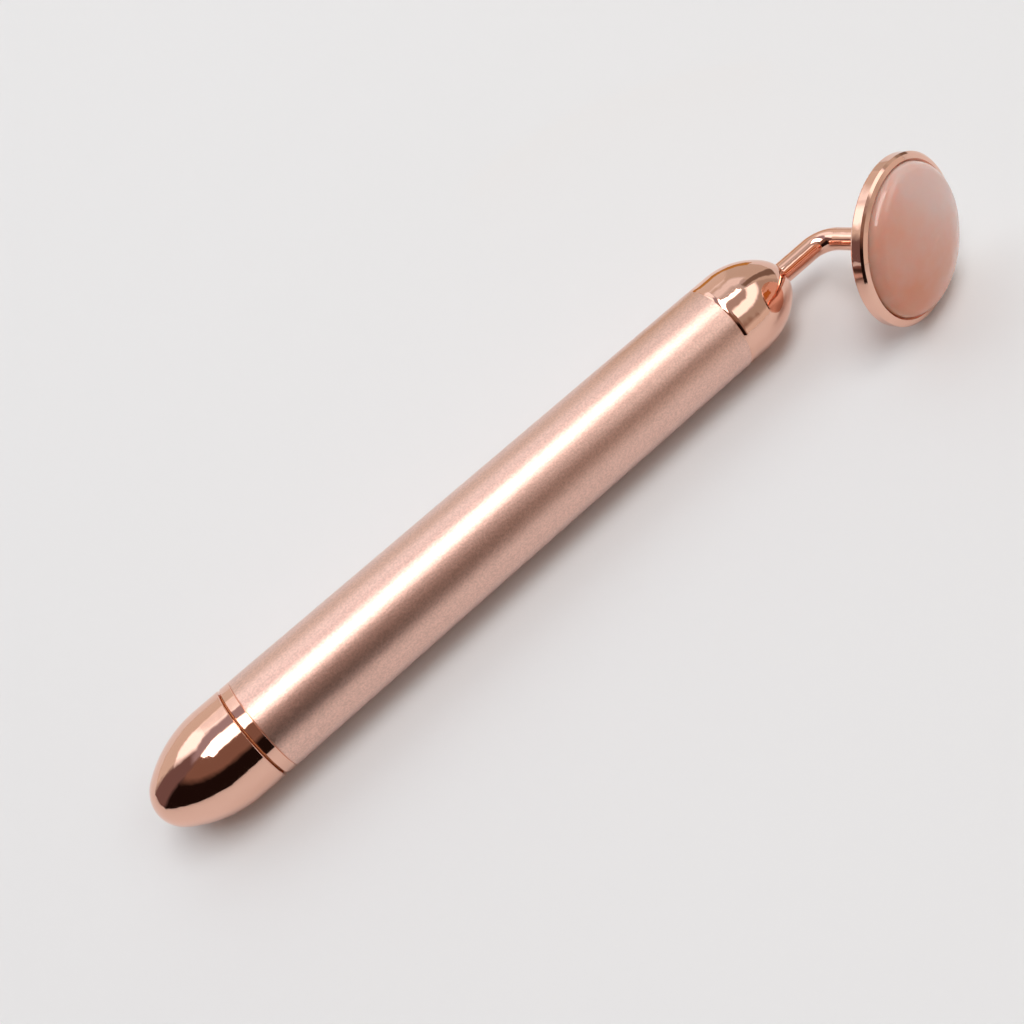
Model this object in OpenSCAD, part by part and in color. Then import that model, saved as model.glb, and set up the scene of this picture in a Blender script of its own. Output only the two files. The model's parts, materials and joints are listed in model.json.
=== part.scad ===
// Vibrating beauty bar: a satin barrel with a twist cap at one end, and at the other end
// a polished dome, a bent neck rod and a round rose quartz cabochon in a polished bezel.
// The barrel lies along X with the head at +X. The origin is the middle of the satin barrel,
// on its axis, and the bar lies as on a table, on the barrel and on the bezel's rim.

/* [Barrel] */
// Outside diameter of the barrel, and of the dome, collar and cap
barrel_d = 17; // [16.8:0.1:20]
// Length of the satin barrel
barrel_len = 101; // [96:0.5:140]
// Wall of the barrel
barrel_wall = 0.8; // [0.7:0.05:0.9]
// Wall of the barrel round the collar's sleeve
barrel_lip = 0.5; // [0.3:0.05:0.6]
// Width of the polished collar that shows
collar_w = 1.85; // [1.5:0.05:4]
// Length of the collar's sleeve inside the barrel
sleeve_len = 6.4; // [6:0.1:8]
// Wall of the collar's sleeve at the root of its thread
collar_wall = 0.3; // [0.2:0.01:0.35]

/* [Twist cap] */
// Length of the cap from mouth to tip
cap_len = 17.9; // [15:0.1:26]
// Length of the cap's straight part
cap_straight = 4.4; // [4.2:0.1:6]
// Radius of the cap's tip
cap_nose_r = 5.8; // [4:0.1:7]
// Wall of the cap
cap_wall = 0.8; // [0.6:0.05:1.1]
// Gap between cap and collar with the bar switched off
cap_gap = 0.35; // [0.2:0.05:1]
// Length of the threaded neck outside the cap
neck_len = 5.6; // [5.2:0.1:6]
// Wall of the threaded neck
neck_wall = 0.6; // [0.4:0.05:1]
// Pitch of the cap's thread
thread_pitch = 0.75; // [0.7:0.05:1]
// Depth of the cap's thread
thread_depth = 0.3; // [0.2:0.02:0.32]
// Thickness of the cap's sealing ring
cap_ring_t = 0.6; // [0.4:0.05:0.66]

/* [Battery] */
// Diameter of the cell, jacket included
cell_d = 14.5; // [13.5:0.1:14.5]
// Length of the cell, its positive cap included
cell_len = 50.5; // [49.5:0.1:51]
// Diameter of the cell's positive cap
cell_cap_d = 5.5; // [4:0.1:6.5]
// Height of the cell's positive cap
cell_cap_h = 1.3; // [1:0.1:1.8]
// Gap between the threaded neck and the cell with the bar switched off
cell_gap = 1.1; // [0.6:0.05:2]
// Wall of the liner round the cell
liner_wall = 0.3; // [0.2:0.01:0.3]
// Outside diameter of the contact spring
spring_d = 9.8; // [7:0.1:11]
// Wire of the contact spring
spring_wire = 0.8; // [0.5:0.05:1]
// Turns of the contact spring
spring_turns = 6; // [4:1:7]

/* [Motor] */
// Diameter of the motor
motor_d = 12; // [11:0.1:12.4]
// Length of the motor
motor_len = 16; // [14:0.1:20]
// Diameter of the motor's shaft
shaft_d = 1.5; // [1:0.1:2]
// Radius of the eccentric weight
weight_r = 6.3; // [4.5:0.1:6.5]
// Length of the eccentric weight
weight_len = 4.8; // [3:0.1:7]
// Spread of the eccentric weight
weight_angle = 170; // [90:5:220]

/* [Dome and neck] */
// Length of the dome
dome_len = 16.5; // [15:0.1:24]
// Length of the dome's straight part
dome_straight = 4.6; // [3:0.1:6]
// Length of the rounding at the dome's mouth
dome_mouth = 0.9; // [0.3:0.1:1.5]
// Radius of the dome's tip
dome_nose_r = 6.4; // [5:0.1:7]
// Length of the dome's spigot inside the barrel
spigot_len = 4; // [3:0.1:6]
// Diameter of the neck rod
rod_d = 4.2; // [3.6:0.1:5.5]
// Distance from the dome's tip to the corner of the neck
rod_reach = 10.9; // [8:0.1:20]
// Distance from the corner of the neck to the bezel's back
head_reach = 16.3; // [12:0.1:24]
// Angle of the neck's bend
neck_angle = 75; // [60:1:85]
// Bend radius of the neck, on its centre line
bend_r = 4.6; // [3.6:0.1:8]

/* [Head] */
// Outside diameter of the bezel
bezel_d = 30.4; // [28:0.2:36]
// Height of the bezel's wall at the stone
bezel_h = 2.6; // [2.4:0.1:5]
// Thickness of the bezel's floor
bezel_floor = 1.4; // [1.3:0.05:1.8]
// Width of the bezel's lip
bezel_lip = 1.55; // [1:0.05:2.5]
// Chamfer between the bezel's wall and its lip
bezel_chamfer = 0.4; // [0.3:0.05:0.9]
// Chamfer on the inner edge of the bezel's lip
lip_edge = 0.3; // [0.2:0.05:0.4]
// Height of the stone above the bezel
stone_rise = 4.8; // [3.5:0.1:8]
// Depth of the stone's edge below the bezel's lip
stone_sink = 0.6; // [0.3:0.05:0.7]
// Radius of the stone's shoulder
stone_shoulder_r = 3; // [2:0.1:4]
// Thickness of the adhesive under the stone
glue_t = 0.2; // [0.1:0.05:0.4]

/* [Fits] */
// Clearance between the two threads, along the radius
thread_clear = 0.1; // [0.08:0.01:0.12]
// Clearance of a part that slides into a bore, along the radius
slide_fit = 0.05; // [0.02:0.01:0.1]
// Clearance of the contact in its socket, along the radius
loose_fit = 0.1; // [0.06:0.01:0.2]
// Clearance of the motor's shaft in its bushes, along the radius
bush_fit = 0.02; // [0.01:0.01:0.05]
// Clearance of a part that is pressed or glued in, along the radius
seat_fit = 0.02; // [0:0.01:0.04]

/* [Hidden] */
$fn = 96;
eps = 0.01;

// Colours, as the photograph shows them
rose_gold = [0.86, 0.66, 0.58];
rose_satin = [0.88, 0.74, 0.70];
brass_tone = [0.80, 0.68, 0.42];
steel_tone = [0.72, 0.73, 0.75];
quartz_tone = [0.80, 0.58, 0.54];

// Barrel and collar
barrel_r = barrel_d / 2;
bore_r = barrel_r - barrel_wall;
sleeve_r = barrel_r - barrel_lip;
edge_chamfer = 0.12;
joint_x = barrel_len / 2;
collar_x = -barrel_len / 2;
collar_mouth_x = collar_x - collar_w;
sleeve_end_x = collar_x + sleeve_len;
collar_total = collar_w + sleeve_len;

// Threads: the collar's runs inside its sleeve, and the neck's clears the collar's
collar_root_r = sleeve_r - collar_wall;
collar_crest_r = collar_root_r - thread_depth;
neck_core_r = collar_crest_r - thread_clear;
neck_crest_r = neck_core_r + thread_depth;
thread_base_w = 0.48 * thread_pitch;
thread_crest_w = 0.2 * thread_pitch;
thread_sink = 0.08;
thread_relief = 0.05;
thread_runout = 0.2;
thread_steps = 24;

// Sealing ring at the neck's root, and its recess in the collar's mouth
ring_room = 0.1;
ring_ease = 0.01;
recess_r = neck_core_r + cap_ring_t + ring_room;
recess_h = cap_ring_t;

// The collar's ridge starts behind the recess and midway between turns of the neck's ridge
neck_ridge_z = cap_ring_t + ring_room;
ridge_shift = neck_ridge_z - cap_gap;
whole_turns = ceil((recess_h + thread_sink - ridge_shift) / thread_pitch - 0.5);
collar_ridge_z = ridge_shift + thread_pitch * (whole_turns + 0.5);

// Cap
cap_mouth_x = collar_mouth_x - cap_gap;
cap_bore_r = barrel_r - cap_wall;
cap_step = 0.3;
neck_setback = 0.4;
neck_inside_len = cap_straight - neck_setback;
neck_total = neck_inside_len + neck_len;
neck_floor_t = 0.8;
neck_floor_hole_r = 2;
neck_bore_r = neck_core_r - neck_wall;
cup_x = cap_mouth_x - neck_inside_len + neck_floor_t;
cup_t = 0.4;
cup_ease = 0.02;

// Cell, set back from the neck so that only the spring reaches it
cell_r = cell_d / 2;
cell_back_x = cap_mouth_x + neck_len + cell_gap;
cell_tip_x = cell_back_x + cell_len;
cell_shoulder_x = cell_tip_x - cell_cap_h;
cell_rim = 0.4;
cell_cover_t = 0.3;
jacket_t = 0.12;
cell_can_r = cell_r - jacket_t;
cell_can_len = cell_len - cell_cap_h - cell_cover_t;
cell_cover_r = 4.4;
liner_r = bore_r - slide_fit;
spring_len = cell_back_x - cup_x - cup_t;

// Positive contact and its holder
holder_r = bore_r - slide_fit;
holder_gap = 0.3;
holder_x = cell_shoulder_x + holder_gap;
holder_len = 5.4;
holder_end_x = holder_x + holder_len;
contact_t = 0.4;
contact_r = 5.2;
socket_r = contact_r + loose_fit;
tab_t = 0.3;
tab_z = 2;
tab_len = 3.8;

// Chassis that carries the motor, laid out back from the dome's spigot
chassis_x = cell_tip_x + contact_t;
chassis_end_x = joint_x - spigot_len;
weight_play = 0.5;
weight_room_x = chassis_end_x - weight_len - 2 * weight_play;
weight_room_r = weight_r + weight_play;
weight_x = weight_room_x + weight_play;
bearing_wall = 1.6;
motor_front_x = weight_room_x - bearing_wall;
motor_back_x = motor_front_x - motor_len;
wire_room_r = 3;
terminal_len = 2;
terminal_t = 0.3;
terminal_w = 1.2;
terminal_y = 3;
terminal_play = 1;
terminal_room_x = motor_back_x - terminal_len - terminal_play;
terminal_room_r = terminal_y + terminal_w / 2 + terminal_play;
chassis_screw_x = (holder_end_x + motor_back_x) / 2;
chassis_screw_y = 4.9;
chassis_screw_z = -4;
chassis_screw_r = 0.8;
chassis_seat_z = 2.6;
chassis_head_r = 1.4;

// Ground clip in a slot of the lower chassis
clip_t = 0.3;
clip_w = 1.8;
clip_setback = 1.4;
clip_x = holder_end_x + clip_setback;
clip_leaf_z = clip_t - holder_r;
clip_leaf_len = 5.4;
clip_top_z = -1.75;
clip_slot_w = 2.2;

// Motor
motor_r = motor_d / 2;
motor_wall = 0.35;
motor_in_r = motor_r - motor_wall;
motor_front_t = 0.5;
bell_t = 1.2;
bell_web = 0.5;
boss_r = 2;
boss_len = 1.2;
bush_r = 1.55;
shaft_r = shaft_d / 2;
shaft_play = 0.05;
shaft_stub = 0.2;
shaft_x = motor_back_x + bell_web + shaft_play;
shaft_end_x = weight_x + weight_len + shaft_stub;
magnet_t = 1;
magnet_in_r = motor_in_r - magnet_t;
magnet_back_room = 4.6;
magnet_front_room = 2;
magnet_x = motor_back_x + magnet_back_room;
magnet_len = motor_len - magnet_back_room - magnet_front_room;
air_gap = 0.3;
armature_r = magnet_in_r - air_gap;
armature_hub_r = 2.2;
armature_inset = 1.2;
armature_x = magnet_x + armature_inset;
armature_len = magnet_len - 2 * armature_inset;
pole_w = 1.4;
shoe_t = 0.9;
winding_w = 2.6;
winding_end = 0.6;
commutator_gap = 0.9;
commutator_x = motor_back_x + bell_t + commutator_gap;
commutator_len = 2;
commutator_r = 1.6;
wire_r = 0.42;
wire_y = terminal_y - terminal_t / 2 - wire_r;

// Dome and what holds the neck in it
dome_tip_x = joint_x + dome_len;
spigot_wall = 0.8;
dome_bore_r = bore_r - spigot_wall;
mouth_lean = 30;
dome_bore_depth = 6;
dome_floor_x = joint_x + dome_bore_depth;
dome_ring_t = 0.8;
dome_ring_x = joint_x - spigot_len / 2;
dome_groove_depth = 0.6;
dome_groove_r = bore_r - dome_groove_depth;
plug_len = 4.5;
plug_x = dome_floor_x - plug_len;
rod_r = rod_d / 2;
rod_shoulder_depth = 2;
rod_shoulder_x = dome_floor_x - rod_shoulder_depth;
tail_r = 1.5;
tail_play = 0.05;
washer_t = 0.5;
nut_t = 2;
nut_flats = 5.5;
nut_x = plug_x - washer_t - nut_t;
tail_stub = 0.4;
tail_x = nut_x - tail_stub;
pin_r = 0.75;
pin_x = (rod_shoulder_x + dome_floor_x) / 2;

// Neck: the bend is a hair thicker than the straights, which lap into it
corner_x = dome_tip_x + rod_reach;
bend_back = bend_r * tan(neck_angle / 2);
bend_swell = 0.01;
bend_lap = 0.05;

// Head. The neck is rolled about the barrel until the bezel's rim meets the table as well:
// the rim's lowest point is then as low as the barrel.
bezel_r = bezel_d / 2;
rim_round = 0.3;
rim_drop = (head_reach + rim_round) * sin(neck_angle);
rim_r = bezel_r - rim_round;
rest_r = barrel_r - rim_round;
roll_a = rim_drop * rim_drop + pow(rim_r * sin(neck_angle), 2);
roll_b = rest_r * rim_drop;
roll_c = rest_r * rest_r - rim_r * rim_r;
head_roll = acos((roll_b - sqrt(roll_b * roll_b - roll_a * roll_c)) / roll_a);
lip_lean = 20;
lip_fall = (bezel_lip - bezel_chamfer - lip_edge) * tan(lip_lean);
rod_seat = 0.3;
screw_r = 1.25;
screw_len = 7;
screw_head_r = 2.2;
screw_head_h = 0.95;
stone_r = bezel_r - bezel_lip - slide_fit;
stone_back = bezel_floor + glue_t;

// Puts a shape drawn along +Z onto the barrel's axis, starting at x
module along(x) {
  translate([x, 0, 0]) rotate([0, 90, 0]) children();
}

// Puts a shape drawn at the neck's corner, with +Z along the barrel and +X the way the
// neck bends, into place
module at_corner() {
  along(corner_x) rotate([0, 0, -head_roll]) children();
}

// Puts a shape drawn with +Z along the bezel's axis onto the bezel's back
module at_head() {
  at_corner() rotate([0, neck_angle, 0]) translate([0, 0, head_reach]) children();
}

// Tube or ring along +Z
module ring(outer, inner, length) {
  difference() {
    cylinder(r = outer, h = length);
    translate([0, 0, -1]) cylinder(r = inner, h = length + 2);
  }
}

// Cylinder with a chamfer at either end
module edged(r, length, low = 0, high = 0) {
  rotate_extrude()
    polygon([
      [0, 0], [r - low, 0], [r, low], [r, length - high], [r - high, length], [0, length]
    ]);
}

// Cylinder whose start is rounded in over a short length, by an arc that ends mouth_lean off the wall
module rounded_start(r, length, mouth) {
  round_r = mouth / sin(mouth_lean);
  rotate_extrude() {
    square([r - round_r, length]);
    translate([0, mouth]) square([r, length - mouth]);
    intersection() {
      translate([r - round_r, mouth]) circle(r = round_r, $fn = 240);
      square([r, mouth + eps]);
    }
  }
}

// Radius of the side arc that runs square off a base of radius r into a nose arc
function side_arc_r(r, length, nose) =
  (pow(length - nose, 2) + r * r - nose * nose) / (2 * (r - nose));

// Half outline of a nose: a side arc that meets a smaller nose arc without a corner
module nose_outline(r, length, nose) {
  side = side_arc_r(r, length, nose);
  lean = atan2(length - nose, side - r);
  meet = length - nose + nose * sin(lean);
  intersection() {
    translate([r - side, 0]) circle(r = side, $fn = 360);
    square([r, meet]);
  }
  intersection() {
    translate([0, length - nose]) circle(r = nose, $fn = 180);
    translate([0, meet - eps]) square([r, length]);
  }
}

// Solid nose with a straight part below it, along +Z. Its mouth has a chamfer or a rounding.
module nose_solid(r, straight, length, nose, low = 0, mouth = 0) {
  if (mouth > 0)
    rounded_start(r, straight, mouth);
  else
    edged(r, straight, low);
  translate([0, 0, straight - eps])
    rotate_extrude() nose_outline(r, length - straight + eps, nose);
}

// Flat outline of the stone's dome: a shoulder arc that meets a wide crown arc
module cabochon_outline(r, rise, shoulder) {
  crown = (pow(r - shoulder, 2) + rise * rise - shoulder * shoulder) / (2 * (rise - shoulder));
  lean = atan2(r - shoulder, crown - rise);
  meet = r - shoulder + shoulder * sin(lean);
  intersection() {
    translate([0, rise - crown]) circle(r = crown, $fn = 720);
    square([meet, rise + 1]);
  }
  intersection() {
    translate([r - shoulder, 0]) circle(r = shoulder, $fn = 120);
    translate([meet - eps, 0]) square([shoulder, rise]);
  }
}

// Point list and faces of a tube through rings of points, closed at both ends
function tube_faces(rings, sides) = concat(
  [[for (k = [0 : sides - 1]) sides - 1 - k]],
  [for (i = [0 : rings - 2]) for (k = [0 : sides - 1])
    [i * sides + k, i * sides + (k + 1) % sides,
     (i + 1) * sides + (k + 1) % sides, (i + 1) * sides + k]],
  [[for (k = [0 : sides - 1]) (rings - 1) * sides + k]]
);

// Helical ridge along +Z, right-handed. The section is a trapezium from base_r to crest_r.
module helix_ridge(base_r, crest_r, length) {
  turns = (length - thread_base_w) / thread_pitch;
  rings = ceil(turns * thread_steps);
  section = [
    [base_r, -thread_base_w / 2], [crest_r, -thread_crest_w / 2],
    [crest_r, thread_crest_w / 2], [base_r, thread_base_w / 2]
  ];
  order = base_r < crest_r ? [0, 1, 2, 3] : [3, 2, 1, 0];
  points = [
    for (i = [0 : rings]) for (k = order)
      let (turn = i * turns / rings, p = section[k])
      [p[0] * cos(360 * turn), p[0] * sin(360 * turn),
       thread_base_w / 2 + turn * thread_pitch + p[1]]
  ];
  polyhedron(points = points, faces = tube_faces(rings + 1, 4), convexity = 10);
}

// Point a share of the way from x = a to x = b, at the given y and z
function stop(a, b, share, y, z) = [a + (b - a) * share, y, z];

// Round wire through the points, with its sections kept square to X
module wire(points) {
  sides = 8;
  rings = [
    for (p = points) for (k = [0 : sides - 1])
      [p[0], p[1] + wire_r * cos(360 * k / sides), p[2] + wire_r * sin(360 * k / sides)]
  ];
  polyhedron(points = rings, faces = tube_faces(len(points), sides), convexity = 6);
}

// Cross slot of a screw's head, cut into the face at z = 0
module cross_slot(size, width, depth) {
  for (turn = [0, 90]) rotate([0, 0, turn])
    translate([-size / 2, -width / 2, -depth]) cube([size, width, depth + 1]);
}

module barrel_tube() {
  color(rose_satin)
    along(collar_x) difference() {
      edged(barrel_r, barrel_len, edge_chamfer, edge_chamfer);
      translate([0, 0, -1]) cylinder(r = bore_r, h = barrel_len + 2);
      translate([0, 0, -1]) cylinder(r = sleeve_r, h = sleeve_len + 1);
    }
}

module thread_collar() {
  ridge_len = collar_total - collar_ridge_z - thread_runout;
  color(rose_gold)
    along(collar_mouth_x) {
      difference() {
        union() {
          edged(barrel_r, collar_w, edge_chamfer, edge_chamfer);
          cylinder(r = sleeve_r - seat_fit, h = collar_total);
        }
        translate([0, 0, -1]) cylinder(r = collar_root_r, h = collar_total + 2);
        translate([0, 0, -1]) cylinder(r = recess_r, h = recess_h + 1);
      }
      translate([0, 0, collar_ridge_z])
        helix_ridge(collar_root_r + thread_sink, collar_crest_r + thread_relief, ridge_len);
    }
}

module cell_liner() {
  color("ivory")
    along(sleeve_end_x) ring(liner_r, liner_r - liner_wall, holder_x - sleeve_end_x);
}

module aa_cell_can() {
  groove_r = 5.4;
  groove_w = 0.8;
  groove_depth = 0.2;
  color(steel_tone)
    along(cell_back_x) difference() {
      edged(cell_can_r, cell_can_len, cell_rim, cell_rim);
      translate([0, 0, -1]) ring(groove_r, groove_r - groove_w, groove_depth + 1);
    }
}

module aa_cell_jacket() {
  color("dimgray")
    along(cell_back_x + cell_rim) ring(cell_r, cell_can_r, cell_can_len - 2 * cell_rim);
}

module aa_cell_positive_cap() {
  color(steel_tone)
    along(cell_shoulder_x - cell_cover_t) {
      cylinder(r = cell_cover_r, h = cell_cover_t);
      edged(cell_cap_d / 2, cell_cap_h + cell_cover_t, 0, 0.2);
    }
}

module aa_cell_insulator_ring() {
  color("white")
    along(cell_shoulder_x - cell_cover_t) ring(cell_can_r - cell_rim, cell_cover_r, 0.25);
}

module contact_holder() {
  lip = cell_tip_x - holder_x;
  mouth_r = cell_cap_d / 2 + 1;
  color("whitesmoke")
    along(holder_x) difference() {
      cylinder(r = holder_r, h = holder_len);
      translate([0, 0, -1]) cylinder(r = mouth_r, h = holder_len + 2);
      translate([0, 0, lip]) cylinder(r = socket_r, h = holder_len);
    }
}

// Contact plate with a tab that the red wire is soldered to
module positive_contact() {
  tab_w = 1.6;
  color(steel_tone) {
    along(cell_tip_x) cylinder(r = contact_r, h = contact_t);
    translate([cell_tip_x, -tab_w / 2, tab_z]) cube([tab_len, tab_w, tab_t]);
  }
}

// Room for the chassis screws: a shank hole with a counterbore above it
module chassis_screw_holes() {
  play = 0.05;
  for (side = [-1, 1]) translate([chassis_screw_x, side * chassis_screw_y, 0]) {
    translate([0, 0, chassis_screw_z - 0.2]) cylinder(r = chassis_screw_r, h = barrel_d);
    translate([0, 0, chassis_seat_z]) cylinder(r = chassis_head_r + play, h = barrel_d);
  }
}

// Slot for the ground clip: a shaft in from the channel, and a bed for the leaf
module clip_slot() {
  slot_x = clip_x - 0.4;
  bed_len = clip_leaf_len + 1;
  bed_h = clip_t + 0.4;
  translate([slot_x, -clip_slot_w / 2, -holder_r]) cube([clip_t + 0.8, clip_slot_w, holder_r]);
  translate([slot_x, -clip_slot_w / 2, -holder_r - 1]) cube([bed_len, clip_slot_w, bed_h + 1]);
}

// Both halves of the chassis before they are split along the middle
module chassis_body() {
  play = 0.1;
  difference() {
    union() {
      along(holder_end_x) cylinder(r = holder_r, h = chassis_end_x - holder_end_x);
      along(chassis_x) cylinder(r = socket_r - slide_fit, h = holder_end_x - chassis_x + 1);
    }
    along(chassis_x - 1) cylinder(r = wire_room_r, h = motor_back_x - chassis_x + 1.5);
    along(terminal_room_x) cylinder(r = terminal_room_r, h = motor_back_x - terminal_room_x);
    along(motor_back_x - play) cylinder(r = motor_r + slide_fit, h = motor_len + play);
    along(motor_front_x - 1) cylinder(r = boss_r + slide_fit, h = bearing_wall + 2);
    along(weight_room_x) cylinder(r = weight_room_r, h = weight_len + 2);
    chassis_screw_holes();
    clip_slot();
  }
}

module chassis_upper() {
  color("silver")
    intersection() {
      chassis_body();
      translate([chassis_x - 1, -barrel_r, 0]) cube([barrel_len, barrel_d, barrel_r]);
    }
}

module chassis_lower() {
  color("gray")
    intersection() {
      chassis_body();
      translate([chassis_x - 1, -barrel_r, -barrel_r]) cube([barrel_len, barrel_d, barrel_r]);
    }
}

module chassis_screws() {
  head_h = 0.9;
  color(steel_tone)
    for (side = [-1, 1]) translate([chassis_screw_x, side * chassis_screw_y, 0])
      difference() {
        union() {
          translate([0, 0, chassis_screw_z])
            cylinder(r = chassis_screw_r, h = chassis_seat_z - chassis_screw_z + head_h / 2);
          translate([0, 0, chassis_seat_z]) cylinder(r = chassis_head_r, h = head_h);
        }
        translate([0, 0, chassis_seat_z + head_h]) cross_slot(1.8, 0.3, 0.4);
      }
}

// Spring leaf that joins the black wire to the barrel's bore, which is the return path.
// Its foot touches the bore with both edges.
module ground_clip() {
  foot_w = 1;
  foot_len = 0.8;
  foot_z = -sqrt(bore_r * bore_r - foot_w * foot_w / 4);
  color(brass_tone) {
    translate([clip_x, -clip_w / 2, clip_leaf_z]) cube([clip_t, clip_w, clip_top_z - clip_leaf_z]);
    translate([clip_x, -clip_w / 2, clip_leaf_z]) cube([clip_leaf_len, clip_w, clip_t]);
    translate([clip_x + clip_leaf_len - foot_len, -foot_w / 2, foot_z])
      cube([foot_len, foot_w, clip_leaf_z - foot_z + clip_t / 2]);
  }
}

module red_wire() {
  a = cell_tip_x + contact_t + 0.6;
  b = motor_back_x - 0.6;
  solder_z = tab_z - wire_r;
  color("firebrick")
    wire([
      [a, 0, solder_z], stop(a, b, 0.18, 0, solder_z), stop(a, b, 0.4, 0.4, 1.3),
      stop(a, b, 0.75, 1.6, 0.6), stop(a, b, 0.9, wire_y, 0), [b, wire_y, 0]
    ]);
}

module black_wire() {
  a = clip_x + clip_t;
  b = motor_back_x - 0.6;
  color("black")
    wire([
      [a, 0, -2.2], stop(a, b, 0.12, 0, -2.2), stop(a, b, 0.35, -0.6, -1.7),
      stop(a, b, 0.7, -1.9, -0.5), stop(a, b, 0.86, -wire_y, 0), [b, -wire_y, 0]
    ]);
}

module motor_can() {
  color(steel_tone)
    difference() {
      union() {
        along(motor_back_x + bell_t) cylinder(r = motor_r, h = motor_len - bell_t);
        along(motor_front_x - motor_front_t) cylinder(r = boss_r, h = boss_len + motor_front_t);
      }
      along(motor_back_x) cylinder(r = motor_in_r, h = motor_len - motor_front_t);
      along(motor_front_x - 1) cylinder(r = bush_r, h = boss_len + 2);
    }
}

module motor_end_bell() {
  skirt = 0.7;
  hollow_r = 4;
  slot_len = 4;
  color("white")
    difference() {
      union() {
        along(motor_back_x) cylinder(r = motor_r, h = bell_t);
        along(motor_back_x) cylinder(r = motor_in_r - seat_fit, h = bell_t + skirt);
      }
      along(motor_back_x + bell_web) cylinder(r = bush_r, h = bell_t);
      along(motor_back_x - 1) cylinder(r = shaft_r + 0.2, h = bell_t + 1);
      along(motor_back_x + bell_t) cylinder(r = hollow_r, h = skirt + 1);
      for (side = [-1, 1])
        translate([motor_back_x - 1, side * terminal_y - terminal_t / 2, -terminal_w / 2])
          cube([slot_len, terminal_t, terminal_w]);
    }
}

module motor_front_bush() {
  color(brass_tone)
    along(motor_front_x - motor_front_t)
      ring(bush_r, shaft_r + bush_fit, boss_len + motor_front_t);
}

module motor_rear_bush() {
  color(brass_tone)
    along(motor_back_x + bell_web) ring(bush_r, shaft_r + bush_fit, bell_t + 0.1);
}

module motor_magnets() {
  gap = 1;
  color("darkslategray")
    for (side = [0, 180]) along(magnet_x) rotate([0, 0, side])
      intersection() {
        ring(motor_in_r, magnet_in_r, magnet_len);
        translate([gap, -motor_r, 0]) cube([motor_r, motor_d, magnet_len]);
      }
}

// Two bent leaves that carry the current from the terminals to the commutator
module motor_brushes() {
  root_x = motor_back_x + 0.4;
  root_len = 1.6;
  tip_len = 1.8;
  arm_x = root_x + root_len - terminal_t;
  tip_y = commutator_r + bush_fit;
  root_y = terminal_y - terminal_t / 2;
  color(brass_tone)
    for (side = [0, 1]) mirror([0, side, 0]) translate([0, 0, -terminal_w / 2]) {
      translate([root_x, root_y, 0]) cube([root_len, terminal_t, terminal_w]);
      translate([arm_x, tip_y, 0]) cube([terminal_t, root_y + terminal_t - tip_y, terminal_w]);
      translate([arm_x, tip_y, 0]) cube([tip_len, terminal_t, terminal_w]);
    }
}

module motor_terminals() {
  color(brass_tone)
    for (side = [-1, 1])
      translate([motor_back_x - terminal_len, side * terminal_y - terminal_t / 2, -terminal_w / 2])
        cube([terminal_len + 0.4, terminal_t, terminal_w]);
}

module motor_shaft() {
  color("lightgray")
    along(shaft_x) edged(shaft_r, shaft_end_x - shaft_x, 0.1, 0.1);
}

// Three-pole core: a hub, and a web and a shoe to each pole
module motor_armature() {
  color("slategray")
    along(armature_x) difference() {
      union() {
        cylinder(r = armature_hub_r, h = armature_len);
        for (pole = [0 : 2]) rotate([0, 0, 120 * pole]) {
          translate([0, -pole_w / 2, 0]) cube([armature_r - shoe_t / 2, pole_w, armature_len]);
          intersection() {
            ring(armature_r, armature_r - shoe_t, armature_len);
            rotate([0, 0, -45]) cube([2 * armature_r, 2 * armature_r, armature_len]);
          }
        }
      }
      translate([0, 0, -1]) cylinder(r = shaft_r, h = armature_len + 2);
    }
}

// Coil round each pole's web, inside its shoe
module motor_windings() {
  play = 0.05;
  inner = armature_hub_r + play;
  outer = sqrt(pow(armature_r - shoe_t - play, 2) - winding_w * winding_w / 4);
  web_w = pole_w + 0.04;
  web_len = armature_len + 0.04;
  color("peru")
    along(armature_x - winding_end) for (pole = [0 : 2]) rotate([0, 0, 120 * pole])
      difference() {
        translate([inner, -winding_w / 2, 0])
          cube([outer - inner, winding_w, armature_len + 2 * winding_end]);
        translate([0, -web_w / 2, winding_end - 0.02]) cube([armature_r, web_w, web_len]);
      }
}

module motor_commutator() {
  color("goldenrod")
    along(commutator_x) ring(commutator_r, shaft_r, commutator_len);
}

// Half-round weight that hangs below the shaft at rest
module eccentric_weight() {
  hub_r = shaft_r + 1;
  root_r = shaft_r + 0.5;
  color("darkgray")
    along(weight_x) {
      ring(hub_r, shaft_r, weight_len);
      rotate([0, 0, -weight_angle / 2]) rotate_extrude(angle = weight_angle)
        translate([root_r, 0]) square([weight_r - root_r, weight_len]);
    }
}

module dome_cover() {
  hollow_x = joint_x - spigot_len - 1;
  groove_w = dome_ring_t + 0.1;
  color(rose_gold)
    difference() {
      union() {
        along(joint_x)
          nose_solid(barrel_r, dome_straight, dome_len, dome_nose_r, mouth = dome_mouth);
        along(joint_x - spigot_len) cylinder(r = bore_r - seat_fit, h = spigot_len + 1);
      }
      along(hollow_x) cylinder(r = dome_bore_r, h = dome_floor_x - hollow_x);
      along(joint_x) cylinder(r = rod_r + seat_fit, h = dome_len + 2);
      along(dome_ring_x - groove_w / 2) ring(bore_r + 1, dome_groove_r, groove_w);
    }
}

// Sealing ring in the spigot's groove, flattened by the barrel's bore
module dome_ring() {
  color("black")
    along(dome_ring_x) rotate_extrude()
      intersection() {
        translate([dome_groove_r + dome_ring_t / 2 + ring_ease, 0])
          circle(d = dome_ring_t, $fn = 48);
        translate([0, -1]) square([bore_r - seat_fit, 2]);
      }
}

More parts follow.
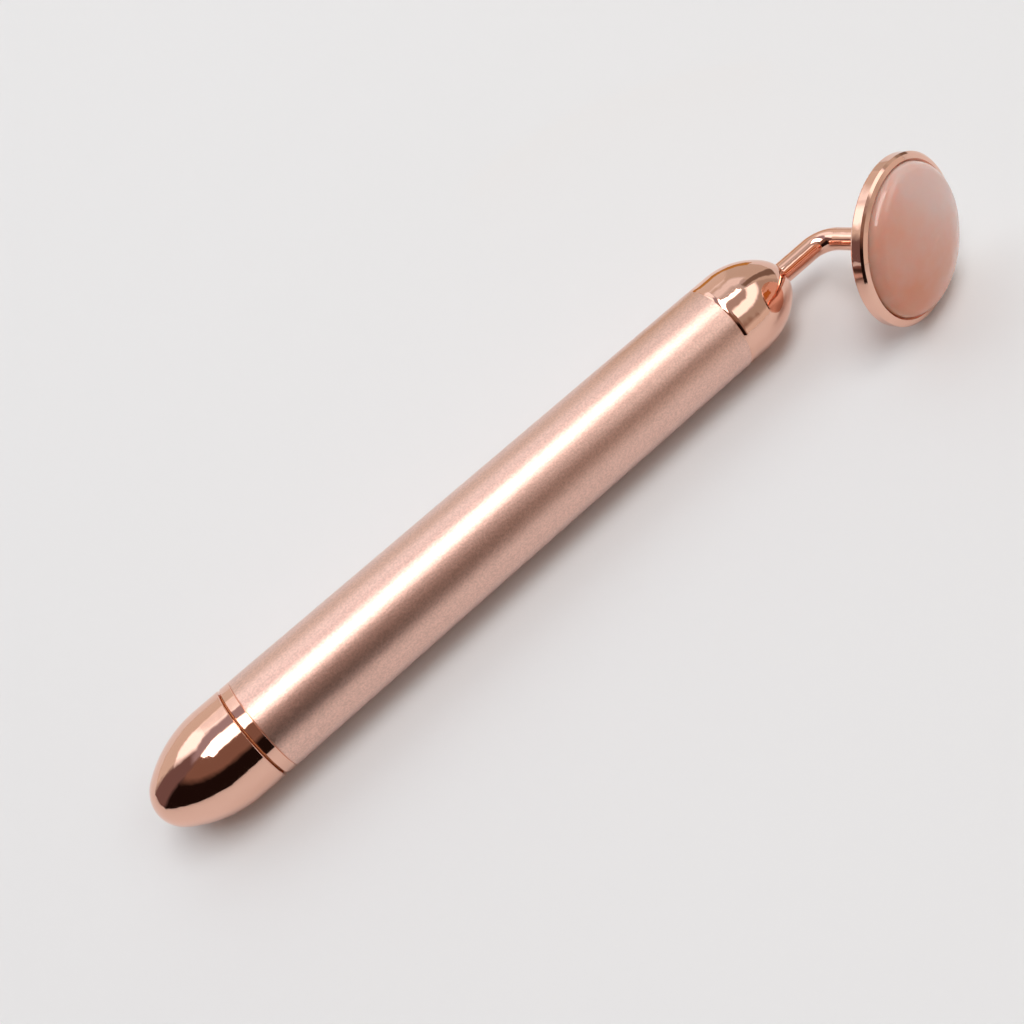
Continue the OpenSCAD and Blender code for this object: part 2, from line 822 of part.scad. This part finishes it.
module neck_plug() {
  color(brass_tone)
    along(plug_x) difference() {
      edged(dome_bore_r - seat_fit, plug_len, 0.3, 0);
      translate([0, 0, -1]) cylinder(r = tail_r + tail_play, h = plug_len);
      translate([0, 0, rod_shoulder_x - plug_x]) cylinder(r = rod_r + seat_fit, h = plug_len);
      translate([0, 0, pin_x - plug_x]) rotate([0, 90, 0])
        cylinder(r = pin_r, h = barrel_d, center = true);
    }
}

// One bent rod: the straight from the plug, the bend, and the straight to the bezel
module neck_rod() {
  straight_len = corner_x - bend_back - rod_shoulder_x;
  rise_len = head_reach - bend_back;
  color(rose_gold)
    difference() {
      union() {
        along(tail_x) edged(tail_r, rod_shoulder_x - tail_x + 1, 0.3, 0);
        along(rod_shoulder_x) cylinder(r = rod_r, h = straight_len + bend_lap);
        at_corner() translate([bend_r, 0, -bend_back]) rotate([90, 0, 0])
          rotate([0, 0, 180 - neck_angle]) rotate_extrude(angle = neck_angle)
            translate([bend_r, 0]) circle(r = rod_r + bend_swell);
        at_head() translate([0, 0, -rise_len - bend_lap])
          cylinder(r = rod_r, h = rise_len + bend_lap + rod_seat);
      }
      at_head() translate([0, 0, -screw_len]) cylinder(r = screw_r, h = screw_len + 2);
      along(pin_x) rotate([0, 90, 0]) cylinder(r = pin_r, h = barrel_d, center = true);
    }
}

module neck_cross_pin() {
  reach = sqrt(pow(dome_bore_r - 0.1, 2) - pin_r * pin_r);
  color(steel_tone)
    along(pin_x) rotate([0, 90, 0]) cylinder(r = pin_r, h = 2 * reach, center = true);
}

module neck_lock_nut() {
  color(steel_tone)
    along(nut_x) difference() {
      cylinder(r = nut_flats / sqrt(3), h = nut_t, $fn = 6);
      translate([0, 0, -1]) cylinder(r = tail_r, h = nut_t + 2);
    }
}

module neck_lock_washer() {
  washer_r = 3.5;
  color(steel_tone)
    along(plug_x - washer_t) ring(washer_r, tail_r + tail_play, washer_t);
}

// Cup with a rounded back rim, a lip that leans out round the stone, and a floor for the screw
module bezel_cup() {
  shoulder_h = bezel_h - lip_fall;
  color(rose_gold)
    at_head() difference() {
      rotate_extrude() union() {
        polygon([
          [0, 0], [rim_r, 0], [bezel_r, rim_round], [bezel_r, shoulder_h - bezel_chamfer],
          [bezel_r - bezel_chamfer, shoulder_h], [bezel_r - bezel_lip + lip_edge, bezel_h],
          [bezel_r - bezel_lip, bezel_h - lip_edge], [0, bezel_h - lip_edge]
        ]);
        translate([rim_r, rim_round]) circle(r = rim_round, $fn = 48);
      }
      translate([0, 0, bezel_floor]) cylinder(r = bezel_r - bezel_lip, h = bezel_h);
      translate([0, 0, -1]) cylinder(r = rod_r + seat_fit, h = rod_seat + 1);
      translate([0, 0, -1]) cylinder(r = screw_r + seat_fit, h = bezel_floor + 2);
      translate([0, 0, bezel_floor - screw_head_h])
        cylinder(r1 = screw_r + seat_fit, r2 = screw_head_r + seat_fit, h = screw_head_h);
    }
}

module head_screw() {
  tip_z = 0.5 - screw_len;
  color(steel_tone)
    at_head() difference() {
      union() {
        translate([0, 0, bezel_floor - screw_head_h])
          cylinder(r1 = screw_r, r2 = screw_head_r, h = screw_head_h);
        translate([0, 0, tip_z]) cylinder(r = screw_r, h = screw_len);
      }
      translate([0, 0, bezel_floor]) cross_slot(2.6, 0.4, 0.5);
    }
}

module stone_adhesive() {
  margin = 0.2;
  color("whitesmoke")
    at_head() translate([0, 0, bezel_floor]) cylinder(r = stone_r - margin, h = glue_t);
}

module rose_quartz_stone() {
  girdle_h = bezel_h - stone_back - stone_sink;
  color(quartz_tone)
    at_head() translate([0, 0, stone_back]) {
      cylinder(r = stone_r, h = girdle_h + eps);
      translate([0, 0, girdle_h])
        rotate_extrude() cabochon_outline(stone_r, stone_rise + stone_sink, stone_shoulder_r);
    }
}

// Hollow cap, with a step inside for the threaded neck to bottom on
module end_cap() {
  color(rose_gold)
    along(cap_mouth_x) rotate([0, 180, 0]) difference() {
      nose_solid(barrel_r, cap_straight, cap_len, cap_nose_r, edge_chamfer);
      translate([0, 0, -1]) cylinder(r = cap_bore_r, h = neck_inside_len + 1);
      translate([0, 0, -eps])
        nose_solid(cap_bore_r - cap_step, cap_straight, cap_len - cap_wall, cap_nose_r - cap_wall);
    }
}

module cap_thread_neck() {
  color(brass_tone)
    along(cap_mouth_x - neck_inside_len) {
      difference() {
        union() {
          cylinder(r = cap_bore_r - seat_fit, h = neck_inside_len);
          edged(neck_core_r, neck_total, 0, 0.2);
        }
        translate([0, 0, neck_floor_t]) cylinder(r = neck_bore_r, h = neck_total);
        translate([0, 0, -1]) cylinder(r = neck_floor_hole_r, h = neck_total);
      }
      translate([0, 0, neck_inside_len + neck_ridge_z])
        helix_ridge(neck_core_r - thread_sink, neck_crest_r, neck_len - neck_ridge_z - thread_runout);
    }
}

module cap_ring() {
  color("sienna")
    along(cap_mouth_x + cap_ring_t / 2 + ring_ease) rotate_extrude()
      translate([neck_core_r + cap_ring_t / 2 + ring_ease, 0]) circle(d = cap_ring_t, $fn = 48);
}

// Pressed cup that turns against the neck's floor and holds the spring's first turn
module spring_cup() {
  cup_r = neck_bore_r - 0.3;
  wall = 0.3;
  rim_h = 1.6;
  hub_r = spring_d / 2 - spring_wire - 0.3;
  hub_h = 1.4;
  color(steel_tone)
    along(cup_x + cup_ease) {
      cylinder(r = cup_r, h = cup_t - cup_ease);
      ring(cup_r, cup_r - wall, rim_h);
      cylinder(r = hub_r, h = hub_h);
    }
}

// Contact spring: one open helix between the cup and the cell's flat end
module contact_spring() {
  sides = 8;
  steps = 16;
  coil_wire_r = spring_wire / 2 - ring_ease;
  rings = spring_turns * steps;
  mean_r = (spring_d - spring_wire) / 2;
  climb = spring_len - spring_wire;
  points = [
    for (i = [0 : rings]) for (k = [0 : sides - 1])
      let (turn = 360 * i / steps, around = 360 * k / sides + 180 / sides,
           r = mean_r + coil_wire_r * cos(around))
      [r * cos(turn), r * sin(turn),
       spring_wire / 2 + climb * i / rings + coil_wire_r * sin(around)]
  ];
  color("lightsteelblue")
    along(cup_x + cup_t)
      polyhedron(points = points, faces = tube_faces(rings + 1, sides), convexity = 20);
}

barrel_tube();
thread_collar();
cell_liner();
aa_cell_can();
aa_cell_jacket();
aa_cell_positive_cap();
aa_cell_insulator_ring();
contact_holder();
positive_contact();
chassis_upper();
chassis_lower();
chassis_screws();
ground_clip();
red_wire();
black_wire();
motor_can();
motor_end_bell();
motor_front_bush();
motor_rear_bush();
motor_magnets();
motor_brushes();
motor_terminals();
motor_shaft();
motor_armature();
motor_windings();
motor_commutator();
eccentric_weight();
dome_cover();
dome_ring();
neck_plug();
neck_rod();
neck_cross_pin();
neck_lock_nut();
neck_lock_washer();
bezel_cup();
head_screw();
stone_adhesive();
rose_quartz_stone();
end_cap();
cap_thread_neck();
cap_ring();
spring_cup();
contact_spring();
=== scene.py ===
# Vibrating beauty bar: its camera, its studio and the finish of every piece.
# Lengths are in millimetres until they meet Blender, which works in metres.
import json
import math

import bmesh
import bpy
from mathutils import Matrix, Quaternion, Vector


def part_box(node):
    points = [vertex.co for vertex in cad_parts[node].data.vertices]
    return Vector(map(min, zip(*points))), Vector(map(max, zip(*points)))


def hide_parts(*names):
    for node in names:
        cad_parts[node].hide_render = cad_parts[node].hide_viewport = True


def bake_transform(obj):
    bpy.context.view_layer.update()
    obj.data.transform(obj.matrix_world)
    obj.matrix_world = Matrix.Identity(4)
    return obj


MM = 0.001

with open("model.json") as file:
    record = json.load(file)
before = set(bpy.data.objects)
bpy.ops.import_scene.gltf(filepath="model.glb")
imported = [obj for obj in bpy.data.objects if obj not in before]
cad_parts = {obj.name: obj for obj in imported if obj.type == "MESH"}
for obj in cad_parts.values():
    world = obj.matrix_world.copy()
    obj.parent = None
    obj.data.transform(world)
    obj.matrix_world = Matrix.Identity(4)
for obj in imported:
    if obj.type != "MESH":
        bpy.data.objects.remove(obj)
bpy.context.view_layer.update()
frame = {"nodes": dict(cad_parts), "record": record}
nodes = frame["nodes"]

# Camera, at the photograph's viewing angle. The frame is 1024 pixels square, and the camera's
# axis meets it at CENTRE_PX. The lens and the clip distances are Blender's own units.
IMAGE_SIZE = 1024
CENTRE_PX = (573, 380)
CAMERA_PLACE = Vector((-28.30, -112.01, 166.25))
CAMERA_TARGET = Vector((28.73, 18.56, -8.5))
CAMERA_ROLL = -21.489
CAMERA_LENS = 41.956
CAMERA_SENSOR = 36
CAMERA_CLIP = (0.01, 50)

# Floor and world
FLOOR_Z = -8.5
FLOOR_RADIUS = 12000
FLOOR_SIDES = 96
FLOOR_COLOUR = (0.83, 0.84, 0.845)
FLOOR_ROUGHNESS = 0.6
WORLD_COLOUR = (0.80, 0.79, 0.785)
WORLD_STRENGTH = 1.0

# Strip lamp over the bar: its height, both ends in X and Y, its width and strength.
# Across it, each pair is a share of the half width and how much of the light is there.
LAMP_HEIGHT = 1500
LAMP_ENDS = ((-570, -290), (660, 330))
LAMP_WIDTH = 560
LAMP_COLOUR = (1.0, 1.0, 1.0)
LAMP_STRENGTH = 4.9
LAMP_PROFILE = ((-1.2, 0.0), (-0.8, 1.0), (0.8, 1.0), (1.2, 0.0))

# Studio cards, pieces of a sphere round the bar, which the polished pieces mirror. Each has
# azimuths from +X towards +Y, elevations, colour, strength, and the width in degrees over
# which it fades at its sides and at its foot and top. Each hangs in front of those above it.
CARD_RADIUS = 2000
CARD_GAP = 10
CARD_STEP = 5
CARDS = {
    "surroundings": ((-180, 180), (0, 90), (0.50, 0.46, 0.47), 1.0, (0, 0)),
    "ceiling_mauve": ((50, 190), (52, 82), (0.38, 0.33, 0.38), 1.0, (6, 3)),
    "ceiling_far": ((-10, 64), (52, 76), (0.54, 0.54, 0.54), 1.0, (6, 3)),
    "ceiling_front": ((-108, -2), (52, 78), (0.44, 0.38, 0.36), 1.0, (6, 3)),
    "ceiling_brown": ((174, 270), (28, 80), (0.22, 0.13, 0.10), 1.0, (8, 5)),
    "low_front": ((-72, 8), (0, 38), (0.44, 0.39, 0.34), 1.0, (4, 3)),
    "low_far": ((-4, 66), (0, 46), (0.58, 0.54, 0.48), 1.0, (4, 3)),
    "low_side": ((56, 154), (0, 36), (0.70, 0.66, 0.60), 1.0, (4, 3)),
    "flag_end": ((140, 188), (0, 62), (0.17, 0.11, 0.11), 1.0, (8, 8)),
    "flag_front": ((-98, -62), (0, 60), (0.28, 0.19, 0.15), 1.0, (4, 3)),
    "low_pale": ((-82, -8), (0, 18), (0.70, 0.64, 0.58), 1.0, (8, 8)),
    "flag_black": ((176, 277), (0, 42), (0.012, 0.006, 0.005), 1.0, (6, 10)),
    "window_side": ((96, 150), (29, 62), (0.92, 0.96, 1.0), 1.8, (14, 4)),
    "window_side_near": ((58, 104), (29, 61), (0.90, 0.95, 1.0), 1.3, (8, 6)),
    "window_front": ((-62, 1), (37, 59), (0.97, 1.0, 1.0), 1.65, (3, 4)),
    "window_small": ((24, 60), (36, 60), (0.95, 0.97, 1.0), 0.95, (6, 6)),
    "post": ((5, 19), (0, 56), (0.20, 0.15, 0.12), 1.0, (2, 2)),
}

# Mustard-coloured edge that the dome mirrors: a low upright arc near the bar's far side, with
# its middle, radius, azimuths, their step and its height
MUSTARD_MIDDLE = (55, 0)
MUSTARD_RADIUS = 80
MUSTARD_AZIMUTHS = (40, 95)
MUSTARD_STEP = 5
MUSTARD_HEIGHT = 18
MUSTARD_COLOUR = (0.50, 0.27, 0.07)

# Contact spring: its turns, its wire, what the wire is thinner by so that it clears the cup,
# the steps of a turn and the sides of the wire
SPRING_TURNS = 6
SPRING_WIRE = 0.8
SPRING_EASE = 0.01
SPRING_STEPS = 24
SPRING_SIDES = 12

# Noise seldom leaves the middle of 0 to 1, so it is read between these two
NOISE_MIDDLE = (0.3, 0.7)

# Polished rose gold: its two tints, the roughness from clean to smudged, lumps of its faint
# wave and of its smudges to a millimetre, and the depth of the wave
POLISHED_TINTS = ((0.86, 0.505, 0.385), (0.89, 0.54, 0.42))
POLISHED_ROUGHNESS = (0.03, 0.09)
POLISHED_WAVE = 0.22
POLISHED_SMUDGE = 6.0
POLISHED_DEPTH = 0.09

# Satin rose gold: its tints in the pits and between them, its roughness, and the lumps to a
# millimetre and depths of its grain and pits, under a clear layer
SATIN_TINTS = ((0.71, 0.43, 0.345), (0.90, 0.56, 0.455))
SATIN_TINT_RANGE = (0.35, 0.65)
SATIN_ROUGHNESS = (0.32, 0.35)
SATIN_PATCHES = 0.1
SATIN_GRAIN = 9.0
SATIN_GRAIN_DEPTH = 0.004
SATIN_PITS = 2.8
SATIN_PITS_DEPTH = 0.03
SATIN_COAT_ROUGHNESS = 0.42
SATIN_COAT_IOR = 1.6

# Rose quartz: its deep orange and pale tints, which are painted light: the stone deepens to orange
# at its foot as painted light come through it off the cup behind, and pales at its top as a
# painted reflection; the way across the stone to its pale top, roughly up as the camera sees it,
# how far from the middle each is full, its veins to a millimetre and how much they shift the
# tints, and how deep the light enters, in all and for red, green and blue
STONE_PAINTED_LIGHT_TINTS = ((0.80, 0.34, 0.21), (0.74, 0.51, 0.455))
STONE_TOWARDS_PAINTED_REFLECTION = Vector((0.652, 0.430, 0.624))
STONE_REACH = 9
STONE_VEINS = 0.07
STONE_VEIN_SHIFT = 0.35
STONE_ROUGHNESS = 0.03
STONE_IOR = 1.54
STONE_DEPTH = 3
STONE_DEPTH_RGB = (1.0, 0.5, 0.4)

# Finishes of the hidden pieces: colour, metallic, roughness, grain per mm, relief in mm.
# The colour varies in broad patches and the roughness with the grain, by these shares.
PLAIN_PATCHES = 0.25
PLAIN_TINT_SHARE = 0.06
PLAIN_ROUGHNESS_SHARE = 0.2
PLAIN_FINISHES = {
    "plated_steel": ((0.66, 0.67, 0.69), 1.0, 0.2, 4.0, 0.002),
    "core_steel": ((0.36, 0.37, 0.39), 1.0, 0.45, 5.0, 0.01),
    "contact_brass": ((0.80, 0.60, 0.30), 1.0, 0.25, 5.0, 0.004),
    "winding_copper": ((0.72, 0.32, 0.16), 1.0, 0.3, 8.0, 0.02),
    "ferrite": ((0.06, 0.06, 0.065), 0.0, 0.6, 6.0, 0.01),
    "cell_metal": ((0.62, 0.63, 0.65), 1.0, 0.28, 4.0, 0.003),
    "cell_jacket": ((0.05, 0.055, 0.06), 0.0, 0.25, 2.0, 0.004),
    "grey_plastic": ((0.24, 0.25, 0.27), 0.0, 0.5, 7.0, 0.006),
    "ivory_plastic": ((0.74, 0.69, 0.56), 0.0, 0.5, 5.0, 0.006),
    "white_plastic": ((0.78, 0.78, 0.75), 0.0, 0.45, 6.0, 0.005),
    "black_rubber": ((0.03, 0.03, 0.03), 0.0, 0.6, 8.0, 0.008),
    # The ring's red-brown is lifted to a bright orange: partly its own colour, partly a painted
    # reflection of the rose gold's glints in the groove
    "red_brown_silicone": ((0.78, 0.30, 0.13), 0.0, 0.25, 5.0, 0.004),
    "red_insulation": ((0.45, 0.03, 0.025), 0.0, 0.4, 6.0, 0.005),
}


def new_object(name, mesh):
    obj = bpy.data.objects.new(name, mesh)
    bpy.context.scene.collection.objects.link(obj)
    return obj


def surface_material(name, build):
    """A material whose surface is the shader that build makes in its node tree."""
    material = bpy.data.materials.new(name)
    material.use_nodes = True
    tree = material.node_tree
    tree.nodes.clear()
    output = tree.nodes.new("ShaderNodeOutputMaterial")
    tree.links.new(build(tree).outputs[0], output.inputs["Surface"])
    return material


def fill(tree, socket, value):
    """Links a socket to another one, or sets it to a value."""
    if isinstance(value, bpy.types.NodeSocket):
        tree.links.new(value, socket)
    else:
        socket.default_value = value


def add(tree, kind, **sockets):
    """A new node, with the named inputs set or linked. Underscores stand for spaces."""
    node = tree.nodes.new(kind)
    for name, value in sockets.items():
        fill(tree, node.inputs[name.replace("_", " ")], value)
    return node


def combine(tree, kind, operation, first, second):
    """A maths node of that kind on two inputs."""
    node = tree.nodes.new(kind)
    node.operation = operation
    fill(tree, node.inputs[0], first)
    fill(tree, node.inputs[1], second)
    return node


def object_place(tree):
    return tree.nodes.new("ShaderNodeTexCoord").outputs["Object"]


def noise(tree, per_mm, detail=2.0, roughness=0.5):
    """Noise with about that many lumps to a millimetre."""
    scale = (per_mm / MM,) * 3
    place = add(tree, "ShaderNodeMapping", Vector=object_place(tree), Scale=scale).outputs[0]
    return add(
        tree, "ShaderNodeTexNoise", Vector=place, Scale=1.0, Detail=detail, Roughness=roughness,
    ).outputs["Fac"]


def span(tree, value, low, high, start, end):
    """Maps a value from start..end to low..high."""
    return add(
        tree, "ShaderNodeMapRange", Value=value,
        From_Min=start, From_Max=end, To_Min=low, To_Max=high,
    ).outputs[0]


def blend(tree, share, first, second):
    """Mixes two colours."""
    node = tree.nodes.new("ShaderNodeMix")
    node.data_type = "RGBA"
    tree.links.new(share, node.inputs["Factor"])
    colours = [socket for socket in node.inputs if socket.type == "RGBA"]
    colours[0].default_value = (*first, 1)
    colours[1].default_value = (*second, 1)
    return next(socket for socket in node.outputs if socket.type == "RGBA")


def bump(tree, height, depth, **sockets):
    """Relief of that depth in millimetres."""
    return add(tree, "ShaderNodeBump", Height=height, Distance=depth * MM, **sockets).outputs[0]


def card_shader(tree, colour, strength):
    """Light of a card, faded by the cover that its mesh carries."""
    light = add(tree, "ShaderNodeEmission", Color=(*colour, 1), Strength=strength)
    clear = add(tree, "ShaderNodeBsdfTransparent")
    cover = tree.nodes.new("ShaderNodeAttribute")
    cover.attribute_name = "cover"
    mix = add(tree, "ShaderNodeMixShader", Fac=cover.outputs["Fac"])
    tree.links.new(clear.outputs[0], mix.inputs[1])
    tree.links.new(light.outputs[0], mix.inputs[2])
    return mix


def floor_shader(tree):
    return add(
        tree, "ShaderNodeBsdfPrincipled", Base_Color=(*FLOOR_COLOUR, 1), Roughness=FLOOR_ROUGHNESS,
    )


def plain_shader(tree, colour, metallic, roughness, grain, depth):
    """A finish with a fine grain in its roughness and relief, and broad patches of tint."""
    lumps = noise(tree, grain)
    patches = span(tree, noise(tree, PLAIN_PATCHES), 0, 1, *NOISE_MIDDLE)
    darker = [channel * (1 - PLAIN_TINT_SHARE) for channel in colour]
    lighter = [channel * (1 + PLAIN_TINT_SHARE) for channel in colour]
    smoother = roughness * (1 - PLAIN_ROUGHNESS_SHARE)
    rougher = roughness * (1 + PLAIN_ROUGHNESS_SHARE)
    return add(
        tree, "ShaderNodeBsdfPrincipled", Metallic=metallic,
        Base_Color=blend(tree, patches, darker, lighter),
        Roughness=span(tree, lumps, smoother, rougher, *NOISE_MIDDLE),
        Normal=bump(tree, lumps, depth),
    )


def polished_shader(tree):
    """Plated and polished, nearly a mirror, with a faint wave and faint smudges."""
    wave = noise(tree, POLISHED_WAVE)
    smudges = noise(tree, POLISHED_SMUDGE, detail=3)
    return add(
        tree, "ShaderNodeBsdfPrincipled", Metallic=1.0,
        Base_Color=blend(tree, wave, *POLISHED_TINTS),
        Roughness=span(tree, smudges, *POLISHED_ROUGHNESS, *NOISE_MIDDLE),
        Normal=bump(tree, wave, POLISHED_DEPTH),
    )


def satin_shader(tree):
    """Blasted and anodised: a grain in the metal under a thin clear layer."""
    grain = noise(tree, SATIN_GRAIN, detail=3, roughness=0.6)
    pits = noise(tree, SATIN_PITS, detail=3, roughness=0.6)
    patches = noise(tree, SATIN_PATCHES)
    between = span(tree, pits, 0, 1, *SATIN_TINT_RANGE)
    relief = bump(tree, grain, SATIN_GRAIN_DEPTH, Normal=bump(tree, pits, SATIN_PITS_DEPTH))
    return add(
        tree, "ShaderNodeBsdfPrincipled", Metallic=1.0,
        Base_Color=blend(tree, between, *SATIN_TINTS),
        Roughness=span(tree, patches, *SATIN_ROUGHNESS, *NOISE_MIDDLE),
        Normal=relief, Coat_Normal=relief, Coat_Weight=1.0,
        Coat_Roughness=SATIN_COAT_ROUGHNESS, Coat_IOR=SATIN_COAT_IOR,
    )


def rose_quartz_shader(tree):
    """Quartz in painted light: pale at its top as a painted reflection, deep orange at its foot as
    painted light off the cup behind, with veins in both.
    """
    low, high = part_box("rose_quartz_stone")
    middle = (Vector(low) + Vector(high)) / 2
    vector_maths = "ShaderNodeVectorMath"
    from_middle = combine(tree, vector_maths, "SUBTRACT", object_place(tree), middle).outputs[0]
    along = combine(tree, vector_maths, "DOT_PRODUCT", from_middle, STONE_TOWARDS_PAINTED_REFLECTION / MM).outputs["Value"]
    veins = noise(tree, STONE_VEINS, detail=4, roughness=0.55)
    # Painted light: the tint runs from deep orange at the stone's foot to pale at its top, where
    # the pale is a painted reflection
    painted_light_zone = span(tree, along, 0, 1, -STONE_REACH, STONE_REACH)
    shift = span(tree, veins, -STONE_VEIN_SHIFT, STONE_VEIN_SHIFT, *NOISE_MIDDLE)
    painted_light_and_veins = combine(tree, "ShaderNodeMath", "ADD", painted_light_zone, shift).outputs[0]
    return add(
        tree, "ShaderNodeBsdfPrincipled", Base_Color=blend(tree, painted_light_and_veins, *STONE_PAINTED_LIGHT_TINTS),
        Roughness=STONE_ROUGHNESS, IOR=STONE_IOR, Subsurface_Weight=1.0,
        Subsurface_Scale=STONE_DEPTH * MM, Subsurface_Radius=STONE_DEPTH_RGB,
    )


def make_camera():
    data = bpy.data.cameras.new("camera")
    data.sensor_width = CAMERA_SENSOR
    data.lens = CAMERA_LENS
    data.clip_start, data.clip_end = CAMERA_CLIP
    data.shift_x = (IMAGE_SIZE / 2 - CENTRE_PX[0]) / IMAGE_SIZE
    data.shift_y = (CENTRE_PX[1] - IMAGE_SIZE / 2) / IMAGE_SIZE
    camera = new_object("camera", data)
    level = (CAMERA_TARGET - CAMERA_PLACE).to_track_quat("-Z", "Y")
    camera.rotation_mode = "QUATERNION"
    camera.rotation_quaternion = level @ Quaternion((0, 0, 1), math.radians(CAMERA_ROLL))
    camera.location = CAMERA_PLACE * MM
    bpy.context.scene.camera = camera


def make_floor():
    mesh = bpy.data.meshes.new("floor")
    form = bmesh.new()
    bmesh.ops.create_circle(
        form, cap_ends=True, segments=FLOOR_SIDES, radius=FLOOR_RADIUS * MM,
    )
    form.to_mesh(mesh)
    form.free()
    mesh.materials.append(surface_material("floor", floor_shader))
    floor = new_object("floor", mesh)
    floor.location.z = FLOOR_Z * MM


def make_world():
    bpy.context.scene.view_settings.view_transform = "Standard"
    world = bpy.data.worlds.new("studio")
    bpy.context.scene.world = world
    world.use_nodes = True
    background = world.node_tree.nodes["Background"]
    background.inputs["Color"].default_value = (*WORLD_COLOUR, 1)
    background.inputs["Strength"].default_value = WORLD_STRENGTH


def hang(name, points, faces, cover, colour, strength):
    """A light in the studio, hidden from the camera, with a cover for each point."""
    mesh = bpy.data.meshes.new(name)
    mesh.from_pydata([point * MM for point in points], [], faces)
    mesh.attributes.new("cover", "FLOAT", "POINT").data.foreach_set("value", cover)
    mesh.materials.append(surface_material(name, lambda tree: card_shader(tree, colour, strength)))
    light = new_object(name, mesh)
    light.visible_camera = False
    return light


def grid_faces(rows, columns):
    """Faces of a grid whose points run row by row."""
    faces = []
    for i in range(rows - 1):
        for k in range(columns - 1):
            corner = i * columns + k
            faces.append((corner, corner + 1, corner + 1 + columns, corner + columns))
    return faces


def make_lamp():
    """The strip over the bar, with soft edges along its sides."""
    ends = [Vector((*end, LAMP_HEIGHT)) for end in LAMP_ENDS]
    along = (ends[1] - ends[0]).normalized()
    half = Vector((0, 0, 1)).cross(along) * LAMP_WIDTH / 2
    points = [end + half * side for end in ends for side, _ in LAMP_PROFILE]
    cover = [share for _ in ends for _, share in LAMP_PROFILE]
    faces = grid_faces(len(ends), len(LAMP_PROFILE))
    hang("lamp", points, faces, cover, LAMP_COLOUR, LAMP_STRENGTH)


def direction(azimuth, elevation):
    around = math.radians(azimuth)
    up = math.radians(elevation)
    level = math.cos(up)
    return Vector((math.cos(around) * level, math.sin(around) * level, math.sin(up)))


def card_angles(start, end, fade):
    """Angles across a card, with one more at either end for its fade."""
    width = end - start - 2 * fade
    count = max(2, math.ceil(width / CARD_STEP))
    angles = [start + fade + width * i / count for i in range(count + 1)]
    if fade > 0:
        angles = [start] + angles + [end]
    return angles


def make_card(name, azimuths, elevations, colour, strength, fades, radius):
    """A piece of a sphere round the bar. It doesn't fade at the floor or straight above."""
    around = card_angles(*azimuths, fades[0])
    high = card_angles(*elevations, fades[1])
    sides = (around[0], around[-1]) if fades[0] > 0 else ()
    edges = [elevation for elevation in (high[0], high[-1]) if 0 < elevation < 90]
    points = []
    cover = []
    for azimuth in around:
        for elevation in high:
            points.append(direction(azimuth, elevation) * radius)
            cover.append(0.0 if azimuth in sides or elevation in edges else 1.0)
    hang(name, points, grid_faces(len(around), len(high)), cover, colour, strength)


def make_mustard_edge():
    """Seen only in mirrors: it lights nothing and hides nothing."""
    start, end = MUSTARD_AZIMUTHS
    points = []
    for azimuth in range(start, end + 1, MUSTARD_STEP):
        foot = direction(azimuth, 0) * MUSTARD_RADIUS + Vector((*MUSTARD_MIDDLE, FLOOR_Z))
        points.append(foot)
        points.append(foot + Vector((0, 0, MUSTARD_HEIGHT)))
    faces = grid_faces(len(points) // 2, 2)
    edge = hang("mustard_edge", points, faces, [1.0] * len(points), MUSTARD_COLOUR, 1.0)
    edge.visible_diffuse = False
    edge.visible_shadow = False


def make_contact_spring():
    """The wound spring, in the CAD spring's box, which it hides."""
    low, high = (Vector(corner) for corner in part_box("contact_spring"))
    rings = SPRING_TURNS * SPRING_STEPS
    sides = SPRING_SIDES
    wire_r = SPRING_WIRE * MM / 2 - SPRING_EASE * MM
    mean_r = (high.y - low.y) / 2 - wire_r
    foot = Vector((low.x + wire_r, (low.y + high.y) / 2, (low.z + high.z) / 2))
    climb = high.x - low.x - 2 * wire_r
    points = []
    for i in range(rings + 1):
        turn = math.tau * i / SPRING_STEPS
        outwards = Vector((0, math.cos(turn), math.sin(turn)))
        for k in range(sides):
            around = math.tau * k / sides
            rise = Vector((climb * i / rings + wire_r * math.sin(around), 0, 0))
            points.append(foot + rise + outwards * (mean_r + wire_r * math.cos(around)))
    faces = [tuple(reversed(range(sides))), tuple(range(rings * sides, (rings + 1) * sides))]
    for i in range(rings):
        for k in range(sides):
            here = i * sides + k
            beside = i * sides + (k + 1) % sides
            faces.append((here, beside, beside + sides, here + sides))
    mesh = bpy.data.meshes.new("wound_spring")
    mesh.from_pydata(points, [], faces)
    form = bmesh.new()
    form.from_mesh(mesh)
    bmesh.ops.recalc_face_normals(form, faces=form.faces)
    for face in form.faces:
        face.smooth = len(face.verts) == 4
    form.to_mesh(mesh)
    form.free()
    spring = new_object("wound_spring", mesh)
    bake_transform(spring)
    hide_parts("contact_spring")
    return spring


def dress(spring):
    """Gives every CAD piece the finish that its slot names, and the spring its steel."""
    shaders = {
        "polished_rose_gold": polished_shader,
        "satin_rose_gold": satin_shader,
        "rose_quartz": rose_quartz_shader,
    }
    finishes = {name: surface_material(name, shader) for name, shader in shaders.items()}
    for name, values in PLAIN_FINISHES.items():
        finishes[name] = surface_material(name, lambda tree: plain_shader(tree, *values))
    for part in frame["record"]["subparts"]:
        for slot in nodes[part["node"]].material_slots:
            slot.material = finishes[part["material_slot"]]
    spring.data.materials.append(finishes["plated_steel"])


make_camera()
make_floor()
make_world()
make_lamp()
for layer, (card_name, card) in enumerate(CARDS.items()):
    make_card(card_name, *card, CARD_RADIUS - CARD_GAP * layer)
make_mustard_edge()
dress(make_contact_spring())
